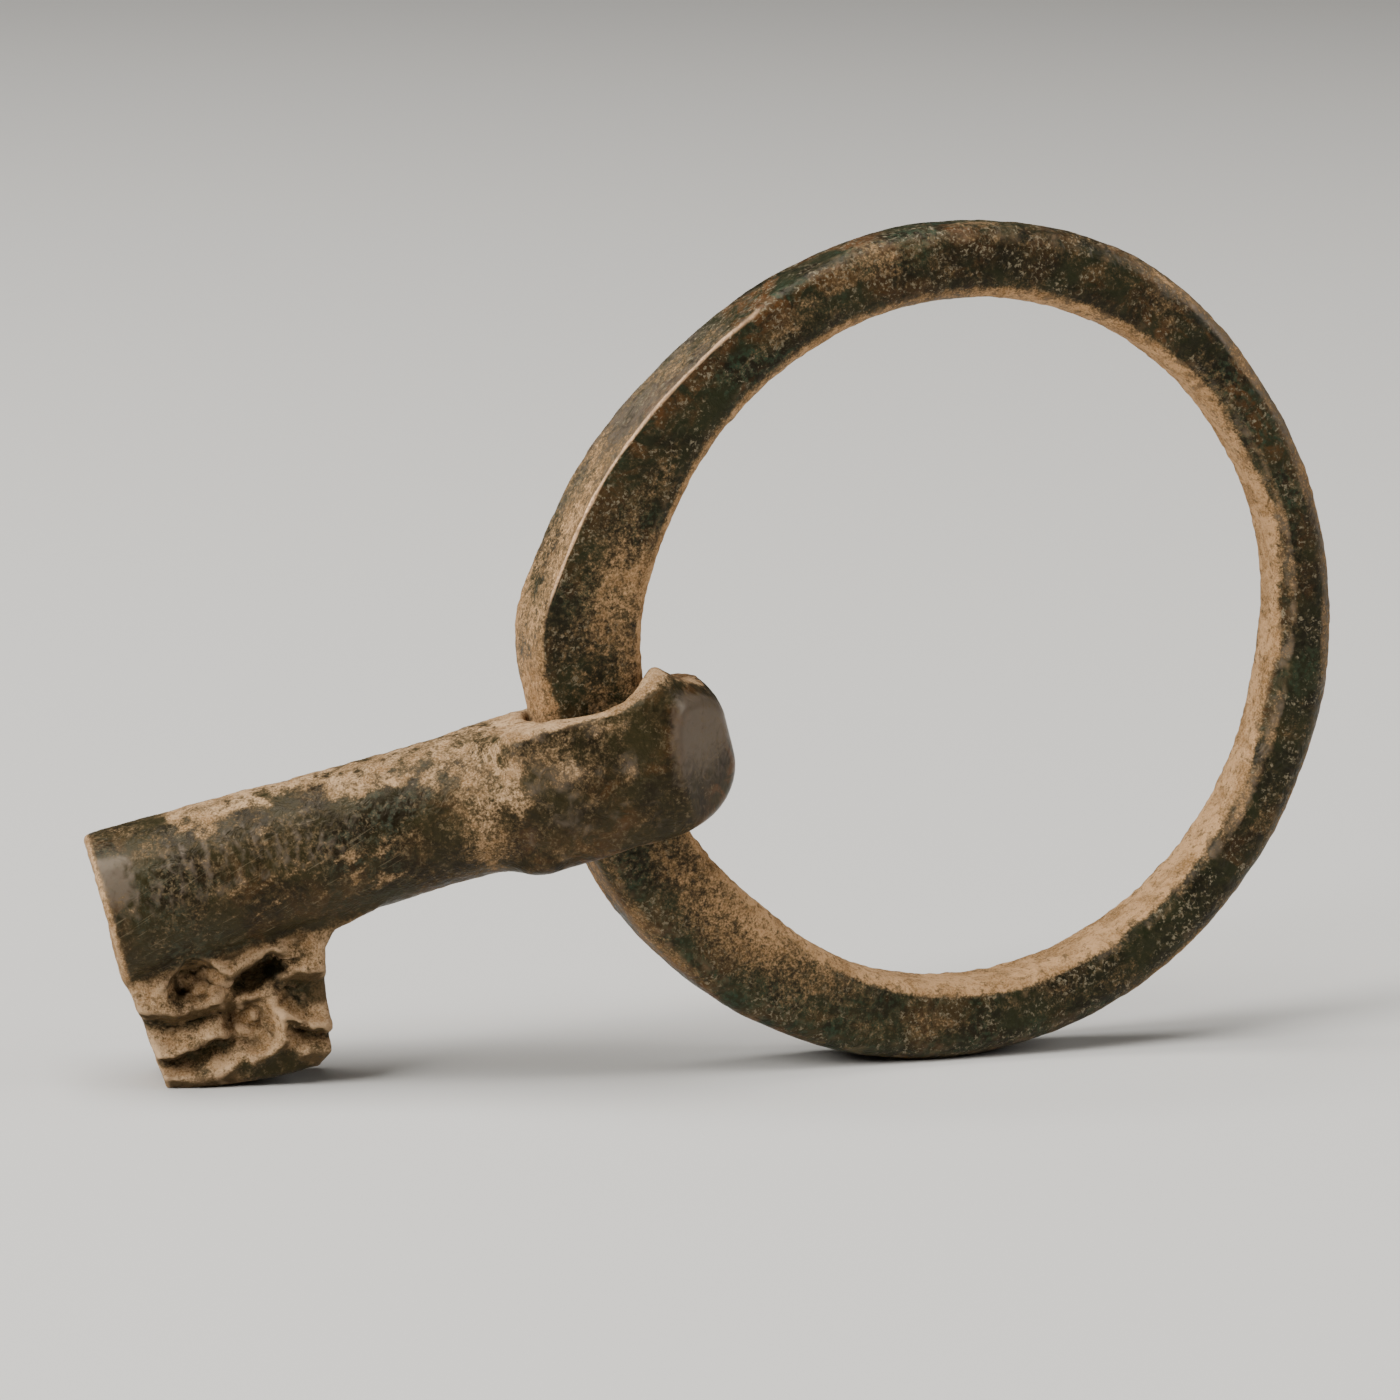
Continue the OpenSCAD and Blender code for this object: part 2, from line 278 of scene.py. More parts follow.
# Cast bronze after centuries in the ground: a smooth dark olive skin that still takes a soft gloss, matt
# sandy soil in what the hand doesn't reach, rusty and green blooms, pale flakes, and metal bared on the
# rubbed ridges.
# Painted light is in the colour too: a grey painted sheen on smooth and rubbed places, painted shade in
# hollows and under the bit, and painted highlights on the bit's crests.
def buriedBronze(name, finish):
    material = bpy.data.materials.new(name)
    material.use_nodes = True
    tree = material.node_tree
    tree.nodes.clear()
    where = addNode(tree, "ShaderNodeTexCoord", {}, {}, "Object")
    fact = {kind: addNode(tree, "ShaderNodeAttribute", {"attribute_name": kind}, {}, "Fac")
            for kind in ("soil", "ridge", "rust", "green", "paintedSheen", "hollow", "crestHighlight", "polish", "scored")}
    cloud = {}
    for kind, detail, rough, twist in (
            ("patchMm", 5, 0.6, 0.4), ("bloomMm", 6, 0.7, 0.8), ("wrinkleMm", 3, 0.55, 1.6),
            ("speckMm", 4, 0.65, 0.0), ("flakeMm", 3, 0.7, 0.4), ("gritMm", 2, 0.7, 0.0)):
        cloud[kind] = addNode(tree, "ShaderNodeTexNoise", {}, {
            "Vector": where, "Scale": 1 / (finish[kind] * mm),
            "Detail": detail, "Roughness": rough, "Distortion": twist})
    # scratches: a noise drawn out along the pipe, of which only the crests show
    drawn = addNode(tree, "ShaderNodeMapping", {"vector_type": "TEXTURE"}, {
        "Vector": where, "Rotation": (0.0, math.radians(finish["scratchTurn"]), 0.0),
        "Scale": [size * mm for size in finish["scratchMm"]]})
    scratch = addNode(tree, "ShaderNodeTexNoise", {}, {
        "Vector": drawn, "Scale": 1.0, "Detail": 2.0, "Roughness": 0.5, "Distortion": 0.3})
    masks = {}
    for kind, source, low, high in (
            ("patch", cloud["patchMm"], 0.38, 0.62), ("bloom", cloud["bloomMm"], 0.42, 0.6),
            ("speck", cloud["speckMm"], 0.44, 0.64), ("grit", cloud["gritMm"], 0.35, 0.65),
            ("pale", cloud["flakeMm"], 0.52, 0.66), ("flock", cloud["bloomMm"], 0.44, 0.58),
            ("void", cloud["speckMm"], 0.46, 0.34), ("scratch", scratch, 0.64, 0.72)):
        masks[kind] = addNode(tree, "ShaderNodeMapRange", {"interpolation_type": "SMOOTHSTEP"}, {
            "Value": source, "From Min": low, "From Max": high})
    # how much of each colour shows: where the key or ring has it, broken up by a cloud
    amounts = {"ridge": fact["ridge"]}
    # painted sheen: a grey laid where the patina is smooth and rubbed, broken up along the wrinkles
    rubbed = addNode(tree, "ShaderNodeMapRange", {"clamp": False}, {
        "Value": cloud["wrinkleMm"], "From Min": 0.0, "From Max": 1.0, "To Min": -0.6, "To Max": 0.6})
    rubbed = addNode(tree, "ShaderNodeMath", {"operation": "ADD"}, {0: rubbed, 1: fact["paintedSheen"]})
    amounts["paintedSheen"] = addNode(tree, "ShaderNodeMapRange", {"interpolation_type": "SMOOTHSTEP"}, {
        "Value": rubbed, "From Min": 0.2, "From Max": 1.0, "To Max": 0.65})
    for kind, a, b in (
            ("rust", fact["rust"], masks["bloom"]), ("green", fact["green"], masks["speck"]),
            ("pale", masks["pale"], masks["flock"]), ("scratch", masks["scratch"], fact["scored"]),
            ("speck", masks["speck"], 0.55), ("light", masks["grit"], 0.4), ("void", masks["void"], 0.55)):
        amounts[kind] = addNode(tree, "ShaderNodeMath", {"operation": "MULTIPLY"}, {0: a, 1: b})
    skin = addNode(tree, "ShaderNodeMix", {"data_type": "RGBA"}, {
        0: masks["patch"], 6: linear(finish["dark"]), 7: linear(finish["olive"])}, 2)
    for kind, colour in (("speck", "brown"), ("green", "verdigris"), ("rust", "rust"), ("paintedSheen", "paintedSheen"),
                         ("pale", "grain"), ("scratch", "scratch"), ("ridge", "bare")):
        skin = addNode(tree, "ShaderNodeMix", {"data_type": "RGBA"}, {
            0: amounts[kind], 6: skin, 7: linear(finish[colour])}, 2)
    # soil: a thin dusty film first, then loose grains that close up into a crust
    ragged = fact["soil"]
    for source, reach in ((cloud["bloomMm"], 0.6), (cloud["speckMm"], 1.1), (cloud["gritMm"], 1.0)):
        push = addNode(tree, "ShaderNodeMapRange", {"clamp": False}, {
            "Value": source, "From Min": 0.0, "From Max": 1.0,
            "To Min": -0.5 * reach, "To Max": 0.5 * reach})
        ragged = addNode(tree, "ShaderNodeMath", {"operation": "ADD"}, {0: ragged, 1: push})
    film = addNode(tree, "ShaderNodeMapRange", {"interpolation_type": "SMOOTHSTEP"}, {
        "Value": ragged, "From Min": 0.05, "From Max": 0.6, "To Max": 0.85})
    crust = addNode(tree, "ShaderNodeMapRange", {"interpolation_type": "SMOOTHSTEP"}, {
        "Value": ragged, "From Min": 0.3, "From Max": 0.85})
    earth = addNode(tree, "ShaderNodeMix", {"data_type": "RGBA"}, {
        0: masks["bloom"], 6: linear(finish["sand"]), 7: linear(finish["sandDeep"])}, 2)
    # dark specks and painted shade darken the earth; pale grains and painted highlights on crests lighten
    # it
    for amount, colour in (
            (amounts["light"], "sandPaleAndHighlight"), (amounts["void"], "earthDarkAndShade"),
            (fact["hollow"], "earthDarkAndShade"), (fact["crestHighlight"], "sandPaleAndHighlight")):
        earth = addNode(tree, "ShaderNodeMix", {"data_type": "RGBA"}, {
            0: amount, 6: earth, 7: linear(finish[colour])}, 2)
    colour = addNode(tree, "ShaderNodeMix", {"data_type": "RGBA"}, {
        0: film, 6: skin, 7: linear(finish["dust"])}, 2)
    colour = addNode(tree, "ShaderNodeMix", {"data_type": "RGBA"}, {0: crust, 6: colour, 7: earth}, 2)
    # roughness: rubbed patina is the smoothest, then plain patina, dust and soil
    smoothest, roughest = finish["patinaRough"]
    rough = addNode(tree, "ShaderNodeMapRange", {}, {
        "Value": cloud["speckMm"], "From Min": 0.3, "From Max": 0.7,
        "To Min": smoothest, "To Max": roughest})
    for amount, kind in ((fact["polish"], "rubbedRough"), (film, "dustRough"), (crust, "soilRough")):
        rough = addNode(tree, "ShaderNodeMix", {"data_type": "FLOAT"}, {
            0: amount, 2: rough, 3: finish[kind]})
    metal = addNode(tree, "ShaderNodeMath", {"operation": "MULTIPLY"}, {
        0: amounts["ridge"], 1: finish["bareMetal"]})
    # relief: wrinkles in the patina, grains in the soil
    relief = addNode(tree, "ShaderNodeMix", {"data_type": "FLOAT"}, {
        0: crust, 2: cloud["wrinkleMm"], 3: cloud["gritMm"]})
    depth = addNode(tree, "ShaderNodeMix", {"data_type": "FLOAT"}, {0: fact["polish"], 2: 0.8, 3: 0.1})
    bump = addNode(tree, "ShaderNodeBump", {}, {
        "Strength": depth, "Distance": finish["reliefMm"] * mm, "Height": relief})
    shader = addNode(tree, "ShaderNodeBsdfPrincipled", {}, {
        "Base Color": colour, "Roughness": rough, "Metallic": metal, "Normal": bump,
        "Specular IOR Level": finish["gloss"], "Specular Tint": linear(finish["sheen"])})
    addNode(tree, "ShaderNodeOutputMaterial", {}, {"Surface": shader})
    print("finish:", name)
    return material


keyFinish = {
    "dark": "#19140a",
    "olive": "#2b2715",
    "brown": "#39301c",
    "verdigris": "#2c3a31",
    "rust": "#52351b",
    # grey painted sheen of smooth, rubbed patina
    "paintedSheen": "#6d6053",
    "sheen": "#dccbb0",
    "grain": "#5c4f3a",
    "scratch": "#8f8066",
    "bare": "#ba9674",
    "dust": "#604d34",
    "sand": "#b2906a",
    # pale sand, also the painted highlight on the bit's crests
    "sandPaleAndHighlight": "#ccac88",
    "sandDeep": "#7e5e3a",
    # dark earth, also the painted shade in hollows and under the bit
    "earthDarkAndShade": "#2a2212",
    "patchMm": 2.4,              # patches of olive and near black
    "bloomMm": 1.5,              # rusty blooms
    "wrinkleMm": 0.8,            # wrinkles of the cast skin
    "speckMm": 0.32,             # specks of the crust
    "flakeMm": 0.22,             # pale flakes left on the patina
    "gritMm": 0.11,              # single grains of soil
    "scratchMm": (4.0, 0.5, 0.1),   # drawn coarser than the hairlines that they are, to show
    "scratchTurn": -32,          # degrees, so that they run down across the pipe
    "reliefMm": 0.12,            # depth of wrinkles and grains
    "patinaRough": (0.34, 0.55),
    "rubbedRough": 0.3,
    "dustRough": 0.75,
    "soilRough": 0.95,
    "gloss": 0.27,               # corroded skin mirrors less than clean metal
    "bareMetal": 0.35,           # the bared ridges are tarnished, so only partly metal to the eye
}
keyBronze = buriedBronze("patinatedBronzeKey", keyFinish)


# The key: one casting, with the pipe, the bit, the shoulder and the eye flowing into each other

casting = {
    "reach": 25.4,               # mouth to the middle of the eye
    "mouthR": 3.75,
    "mouthRound": 0.35,
    "neckR": 3.5,
    "neckAt": 17.8,
    "flare": 0.27,               # the neck widens to front and back before the eye
    "flareAt": (-11, -4.5),
    "boreR": pipeBore["dims"]["r_mm"],
    "boreDepth": pipeBore["dims"]["length_mm"],
    "boreRound": (0.6, 0.3),     # at its end and at the mouth
    "eyeR": 6.3,
    "eyeHalfDepth": 4.9,
    "eyeTop": 4.0,
    "eyeBottom": 3.55,
    "eyeRound": (1.2, 2.6),      # above and below
    "eyeBarrel": (0.04, 0.09),   # how much the flat faces of the eye belly out, above and below
    "faceRound": 0.6,            # where those faces meet the round of the eye
    "holeR": 3.3,
    "holeRound": 0.25,
    "holeFlares": [(0.35, -2.4, -3.4), (0.2, 3.2, 4.2)],   # wider below and above: by what, between heights
    "endRound": 1.8,             # rounding added at the top of the free end
    "endRoundAt": (1.0, 4.5),
    "endFace": (0.75, -0.65, -0.1, 5.5),   # rubbed end of the eye: its direction and distance from the hole
    "endEdge": 0.22,
    "endBack": (0.15, 0.4),      # its mirror at the back: how much further out, and the edge
    "horn": 1.2,                 # corner of the rim that stands up beside the ring
    "hornSpot": (3.1, 1.15, -2.4, 1.7),    # place and spread along the pipe, then across it
    "saddle": (-0.4, 6.0, 0.3),  # rim worn by the ring: place along the pipe, radius, depth
    "saddleEdge": 0.3,
    "rimFall": 0.16,             # how the rim falls away to the back
    "rimRound": 0.5,
    "shoulderSoft": 0.8,         # how softly pipe and eye flow together
    "lump": ((-4.3, -2.4, -2.95), (1.2, 1.5, 0.65)),       # low swelling under the shoulder
    "lumpSoft": 0.9,
    "bitHalfT": 1.95,
    "bitRound": 0.3,
    "bitSoft": 0.55,             # how softly the bit grows out of the pipe
    "bitOutline": [(0.05, -1.6), (0.1, 0.0), (0.5, 5.36), (3.0, 5.95), (5.4, 6.28), (7.9, 6.48),
                   (8.65, 5.9), (9.0, 4.5), (9.2, 3.3), (9.45, 1.7), (9.7, 0.6), (10.4, -0.1),
                   (12.4, -0.6), (13.6, -1.6)],
    "skinLow": (-26.3, -5.9, -11.4),       # box that the skin is worked out in
    "skinHigh": (7.2, 5.9, 4.5),
    "step": 0.14,                # size of the skin's quads
}

# wards of the bit, in places along from the mouth and down from the pipe
# shingles: height of the face, then the line on which it has that height
wards = {
    "left": [
        (0.0, [(0, -0.5), (4, -0.5)]),
        (0.35, [(0, 1.15), (0.85, 1.4), (2.2, 1.65), (4, 1.85)]),
        (-0.8, [(0, 1.85), (1.1, 2.36), (3.3, 2.52), (4.2, 2.56)]),
        (0.4, [(0, 3.8), (2.0, 3.53), (3.6, 3.45)]),
        (-0.95, [(0, 4.3), (1.2, 4.25), (2.7, 3.85), (3.8, 4.0)]),
        (0.3, [(0, 4.7), (1.5, 4.95), (3.0, 5.3)]),
        (-0.1, [(0, 5.3), (3.0, 6.0)]),
    ],
    "leftFade": (4.7, 3.7),
    "right": [
        (0.0, [(7, -0.4), (10, -0.4)]),
        (0.3, [(7, 1.5), (8.2, 1.3), (9.4, 1.7)]),
        (-0.85, [(7, 2.1), (8.3, 2.3), (9.4, 2.4)]),
        (-0.75, [(7, 2.7), (8.3, 3.1), (9.4, 3.3)]),
        (0.4, [(7, 3.4), (8.0, 4.2), (9.2, 4.5)]),
        (-0.8, [(7, 4.3), (7.9, 4.75), (9.0, 5.05)]),
        (0.25, [(6.4, 5.35), (8.6, 5.55)]),
        (-0.2, [(6.4, 6.1), (8.6, 6.2)]),
    ],
    "rightFade": (6.6, 7.4),
    # pits: middle, radius, depth, slant of the floor
    "pits": [((3.15, 0.6), 1.5, 1.0, 0.75), ((5.35, 3.45), 1.6, 0.75, 0.35)],
    "pitRough": 0.18,            # unevenness of their floors
    # cuts: path, width above and below it, depth
    "cuts": [([(5.4, 1.0), (7.3, 0.6)], 0.3, 0.75, 1.6), ([(4.4, 3.1), (4.6, 1.8)], 0.35, 0.35, 0.6)],
    # crests: path, width, height
    "crests": [
        ([(1.6, 0.1), (2.5, -0.5), (3.3, -0.7), (4.1, -0.45), (4.7, 0.0)], 0.38, 0.4),
        ([(5.1, 0.35), (6.4, 0.0), (7.7, -0.1)], 0.36, 0.45),
        ([(6.9, 3.5), (6.5, 4.5), (5.6, 5.0), (4.9, 4.9)], 0.45, 0.36),
    ],
    "wobble": 0.1,               # hand-cut unevenness
    "deepest": -1.5,
}


def shingles(u, w, lines):
    height = np.full(u.shape, lines[0][0])
    for (above, upper), (below, lower) in zip(lines, lines[1:]):
        start = np.interp(u, *zip(*upper))
        height += (below - above) * np.clip((w - start) / (np.interp(u, *zip(*lower)) - start), 0, 1)
    return height


def wardRelief(u, w):
    k = wards["wobble"]
    u = u + k * np.sin(2.3 * w + 0.7) + 0.5 * k * np.sin(5.1 * w - 2.0 * u)
    w = w + k * np.sin(1.9 * u + 1.1) + 0.5 * k * np.sin(4.7 * u + 1.5 * w)
    height = shingles(u, w, wards["left"]) * softStep(*wards["leftFade"], u)
    height += shingles(u, w, wards["right"]) * softStep(*wards["rightFade"], u)
    rough = wards["pitRough"] * np.sin(4.1 * u + 0.5) * np.sin(4.7 * w)
    for (pu, pw), r, deep, slant in wards["pits"]:
        away = np.hypot(u - pu, w - pw)
        floor = 1 - slant * (0.5 * (u - pu) + 0.87 * (w - pw)) / r + rough
        height -= deep * floor * softStep(r, r * 0.5, away)
    for path, above, below, deep in wards["cuts"]:
        width = np.where(w < np.interp(u, *zip(*path)), above, below)
        height -= deep * np.exp(-(pathDistance(u, w, path) / width) ** 2)
    for path, width, rise in wards["crests"]:
        height += rise * np.exp(-(pathDistance(u, w, path) / width) ** 1.5)
    return np.maximum(height, wards["deepest"])


def castingField(p):
    c = casting
    x, y, z = p.T
    upper = z > 0
    along = x + c["reach"]
    radius = np.interp(along, [0, c["neckAt"]], [c["mouthR"], c["neckR"]])
    flare = 1 + c["flare"] * softStep(*c["flareAt"], x)
    pipe = softKeep(np.hypot(y / flare, z) - radius, -along, c["mouthRound"])
    pipe = np.maximum(pipe, x + 1)      # it ends inside the eye
    # eye: a thick loop, flattened at front and back and rubbed at its free end
    above, below = c["eyeRound"]
    rounding = np.where(upper, above + c["endRound"] * softStep(*c["endRoundAt"], x), below)
    out = np.hypot(x, y) - (c["eyeR"] - rounding)
    top = c["eyeTop"] + c["horn"] * spot(x, y, c["hornSpot"])
    over = np.where(upper, z - top, -z - c["eyeBottom"]) + rounding
    eye = np.hypot(np.maximum(out, 0), np.maximum(over, 0)) - rounding
    eye += np.minimum(np.maximum(out, over), 0)
    belly = np.where(upper, *c["eyeBarrel"]) * z * z
    eye = softKeep(eye, np.abs(y) + belly - c["eyeHalfDepth"], c["faceRound"])
    fx, fy, fz, far = c["endFace"]
    further, backEdge = c["endBack"]
    eye = softKeep(eye, fx * x + fy * y + fz * z - far, c["endEdge"])
    eye = softKeep(eye, fx * x - fy * y - far - further, backEdge)
    fall = c["rimFall"] * (y + c["eyeHalfDepth"])
    eye = softKeep(eye, z + fall - top, c["rimRound"])
    body = softJoin(pipe, eye, c["shoulderSoft"])
    body = softJoin(body, knob(p, *c["lump"]), c["lumpSoft"])
    # bit: a flared plate under the mouth with its wards in both faces
    drop = -z - c["mouthR"]
    plate = softKeep(outlineDistance(along, drop, c["bitOutline"]),
                     np.abs(y) - c["bitHalfT"] - wardRelief(along, drop), c["bitRound"])
    body = softJoin(body, plate, c["bitSoft"])
    # holes: the hollow of the pipe, the way through the eye, and the rim where the ring has worn it
    endRound, mouthRound = c["boreRound"]
    bore = softKeep(np.hypot(y, z) - c["boreR"], along - c["boreDepth"], endRound)
    body = softKeep(body, -bore, mouthRound)
    hole = c["holeR"]
    for more, start, full in c["holeFlares"]:
        hole = hole + more * softStep(start, full, z)
    body = softKeep(body, hole - np.hypot(x, y), c["holeRound"])
    sx, sr, sd = c["saddle"]
    return softKeep(body, sr - np.hypot(x - sx, z - c["eyeTop"] - sr + sd), c["saddleEdge"])


# Where soil, rust, rubbing, painted sheen and painted shade lie on the key: along is mm from the mouth, x
# and z are mm from the middle of the eye, and round is degrees from the top of the pipe. Spots have a place
# and a spread both ways.
castingWear = {
    "looseMm": 2.2,              # patchiness of the soil, then finer
    "fineMm": 0.9,
    "mottleMm": 1.1,             # spots on the eye
    "pipeX": (-4.6, -5.6),       # where the parts of the casting fade into each other
    "pipeZ": (-3.9, -3.2),
    "bitX": (-12.5, -14.5),
    "bitZ": (-2.9, -3.6),
    "eyeX": (-5.4, -4.6),
    # soil on top of the pipe: places along, how far round it reaches there, and how thick it lies
    "topReach": ([2.0, 3.6, 4.4, 8.0, 9.2, 11, 14, 18, 20], [-40, 0, 30, 34, 20, 26, 40, 58, 80]),
    "topThick": ([8, 13, 20], [0.7, 0.54, 0.5]),
    "topFade": 22,               # degrees over which its edge fades and wanders
    "topWander": (26, 18),
    "topX": (-3.6, -4.8),
    "creaseX": -6.7,             # sandy crease before the shoulder
    "creaseWide": 1.05,
    "creaseRound": (170, 120),
    "underRound": (135, 165),    # dusty underside
    "underAlong": (13, 16),
    "streakMm": (2.4, 0.42),     # soil caught in slanting scratches, long and narrow
    "streakSlant": (0.87, 0.5),
    "streakRound": (72, 88, 115, 132),
    "streakAlong": (3.0, 6.0, 13.5, 15.5),
    "wrinkleMm": (0.3, 1.3),     # fine wrinkles round the pipe
    "gleamRound": (28, 45, 78, 98),        # grey side of the pipe, a painted sheen
    "gleamAlong": (14.5, 11),
    "lipRound": (30, 42, 66, 86),          # rubbed lip of the mouth, with a painted grey sheen
    "lipAlong": (2.4, 0.9),
    "mouthAlong": (0.35, 0.05),  # soil on the rim of the mouth
    "boreX": (-9, -11),
    "scoredRound": (55, 80),
    "scoredAlong": (16, 13),
    # bit, in places along and down as for the wards
    "cup": (5.3, 1.2, 3.4, 1.2),           # the two pits, full of crumbs
    "pit": (3.2, 1.2, 0.8, 1.0),
    "shadeDown": (4.7, 5.7),      # painted shade along the lower edge, lower still at the right
    "shadeAlong": (3.0, 4.6),
    "shadeRight": (6.8, 7.6),
    "sunkShadeRelief": (-0.3, -0.8),  # painted shade in the gaps between the rows, mm below the face
    "sunkShadeY": (0.5, 0.9),
    # eye, in x and z
    "dustSpots": [
        ((-2.2, 2.6, 2.2, 1.3), 0.4),
        ((-3.0, 1.6, -2.2, 0.9), 0.25),
        ((-3.6, 1.1, 0.3, 0.9), -0.4),
    ],
    "dustX": (2.6, 0.8),
    "rustSpot": (-2.5, 2.2, -2.3, 1.2),
    "sheenSpot": (-3.4, 1.7, 1.9, 1.1),
    "rimUp": (0.55, 0.85),       # soil lies where the rim faces up
    "rimZ": (1.8, 2.6),
    "rubbedMm": 0.75,            # reach of the rubbing on the end of the eye
    # the painted sheen on the rubbed end fades out between these heights, towards the bottom
    "rubbedSheenZ": (-3.0, 1.5),
    "rustMm": 4.0,
    "greenMm": 5.0,
}


def wearCasting(points, faces):
    c, w = casting, castingWear
    x, y, z = points.T
    along = x + c["reach"]
    drop = -z - c["mouthR"]
    fromTop = np.degrees(np.abs(np.arctan2(y, z)))
    arc = np.radians(fromTop) * c["mouthR"]
    edges = edgesOf(faces)
    normals = normalsOf(points, faces)
    wide = hollows(points, edges, normals, 50)
    loose = grain(points, w["looseMm"], 5.0, 3)
    fine = grain(points, w["fineMm"], 9.0, 2)
    mottle = grain(points, w["mottleMm"], 61.0, 3)
    onPipe = softStep(*w["pipeX"], x) * softStep(*w["pipeZ"], z)
    onBit = softStep(*w["bitZ"], z) * softStep(*w["bitX"], x)
    onEye = softStep(*w["eyeX"], x)
    # pipe: soil on its top, in the crease, underneath, in scratches and inside
    coarseWander, fineWander = w["topWander"]
    below = fromTop - np.interp(along, *w["topReach"]) - coarseWander * loose - fineWander * fine
    topSoil = softStep(w["topFade"], -w["topFade"], below) * softStep(*w["topX"], x)
    topSoil *= np.interp(along, *w["topThick"]) + 0.4 * fine
    crease = np.exp(-((x - w["creaseX"] - 0.8 * loose) / w["creaseWide"]) ** 2)
    crease *= softStep(*w["creaseRound"], fromTop) * (1 - onBit)
    underSoil = softStep(*w["underRound"], fromTop) * softStep(*w["underAlong"], along)
    lengthMm, widthMm = w["streakMm"]
    cosine, sine = w["streakSlant"]
    slantwise = np.stack([(cosine * along - sine * arc) / lengthMm,
                          (sine * along + cosine * arc) / widthMm, np.sign(y)], 1)
    caught = softStep(0.0, 0.45, grain(slantwise, 1.0, 53.0, 3) + 0.6 * loose)
    caught *= between(fromTop, *w["streakRound"]) * between(along, *w["streakAlong"])
    dusty = 0.03 + 0.25 * loose + 0.12 * fine + 0.1 * normals[:, 2]
    inside = softStep(0.25, -0.25, np.hypot(y, z) - c["boreR"]) * softStep(*w["boreX"], x)
    inside = np.maximum(inside, softStep(0.5, -0.1, np.hypot(x, y) - c["holeR"]))
    mouthSoil = softStep(*w["mouthAlong"], along)
    # bit: sandy rows with painted shade in the gaps, crumbs in the pits and painted shade along the lower
    # edge
    lower = drop + 0.8 * loose - softStep(*w["shadeRight"], along)
    # painted shade along the bit's lower edge: less soil there, so the dark patina shows
    lowShade = softStep(*w["shadeDown"], lower) * softStep(*w["shadeAlong"], along)
    cup = spot(along, drop, w["cup"])
    pit = spot(along, drop, w["pit"])
    crumbs = onBit * np.maximum(cup, pit)
    # painted shade in the gaps between the rows: less soil and darker earth there
    sunkShade = softStep(*w["sunkShadeRelief"], wardRelief(along, drop)) * softStep(*w["sunkShadeY"], np.abs(y))
    sunkShade *= onBit * (1 - cup) * (1 - 0.7 * pit)
    bitSoil = 0.68 - 0.45 * sunkShade + 0.45 * loose + 0.25 * fine - 0.75 * lowShade + 0.3 * cup
    # eye: dust on its sides, soil on its rim, rubbed clean at its end
    headDust = 0.06 + 0.3 * loose + 0.3 * mottle
    for place, amount in w["dustSpots"]:
        headDust += amount * spot(x, z, place)
    headDust *= softStep(*w["dustX"], x + 0.8 * loose)
    rimSoil = softStep(*w["rimUp"], normals[:, 2] - 0.25 * fine) * softStep(*w["rimZ"], z)
    fx, fy, fz, far = c["endFace"]
    rubbed = softStep(w["rubbedMm"], 0.0, np.abs(fx * x + fy * y + fz * z - far)) * onEye
    soil = np.maximum.reduce([
        dusty * onPipe, topSoil, 0.48 * crease, 0.5 * underSoil * onPipe, 0.5 * caught * onPipe,
        0.9 * inside, 0.85 * mouthSoil, bitSoil * onBit, 0.78 * rimSoil * onEye, headDust * onEye])
    soil = np.clip(soil, 0, 1) * (1 - rubbed)
    crust = np.maximum.reduce([
        soil * (1 - 0.5 * inside), 1.2 * headDust * onEye,
        3.5 * onBit * softStep(0.03, 0.12, wide), 2.5 * crumbs])
    points = weather(points, faces, crust, 0.85 * rubbed, 11.0)
    # what the finish follows, on the weathered skin
    normals = normalsOf(points, faces)
    close = hollows(points, edges, normals, 10)
    acrossMm, aroundMm = w["wrinkleMm"]
    aroundPipe = np.stack([(along + 0.5 * loose) / acrossMm, arc / aroundMm, np.sign(y)], 1)
    wrinkles = grain(aroundPipe, 1.0, 57.0, 3)
    gleam = between(fromTop, *w["gleamRound"]) * softStep(*w["gleamAlong"], along) * onPipe
    mouthLip = softStep(*w["lipAlong"], along) * between(fromTop, *w["lipRound"])
    # painted highlights: grey patches of sheen on the eye's side, following the mottling
    headSheen = (0.6 * spot(x, z, w["sheenSpot"]) + 0.2 + 0.65 * mottle) * softStep(*w["dustX"], x)
    rust = softStep(-0.1, 0.5, grain(points, w["rustMm"], 21.0, 2)) * (0.35 + 0.65 * onEye)
    shaded = softStep(0.03, 0.16, wide) * (onBit * (1 - 0.8 * cup) + 0.5 * (1 - onBit) * (1 - crease))
    return points, {
        "soil": soil,
        "ridge": softStep(0.025, 0.07, -close) * 0.25 * (1 - lowShade),
        "rust": rust + 0.5 * onEye * spot(x, z, w["rustSpot"]),
        "green": softStep(0.0, 0.5, grain(points, w["greenMm"], 31.0, 2)) * 0.6,
        # painted sheen: on the rubbed end of the eye, on the mouth's lip, along the pipe's side and in
        # patches on the eye
        "paintedSheen": np.maximum.reduce([
            rubbed * softStep(*w["rubbedSheenZ"], z), 1.1 * mouthLip * (1 + 0.5 * wrinkles),
            gleam * (0.3 + 0.7 * wrinkles + 0.2 * loose), onEye * headSheen]),
        # painted shade: darker earth in the gaps between the rows, in hollows, on the bit's undersides and
        # in the pits
        "hollow": np.maximum.reduce([
            0.8 * sunkShade, shaded, 0.9 * onBit * softStep(-0.1, -0.5, normals[:, 2]),
            0.7 * crumbs * softStep(0.01, 0.05, close)]),
        # painted highlight: paler sand on the bit's crests
        "crestHighlight": softStep(0.03, 0.09, -close + 0.04 * fine) * onBit * 0.5,
        "polish": np.maximum(rubbed, mouthLip),
        "scored": 0.3 * onPipe * softStep(*w["scoredRound"], fromTop) * softStep(*w["scoredAlong"], along),
    }


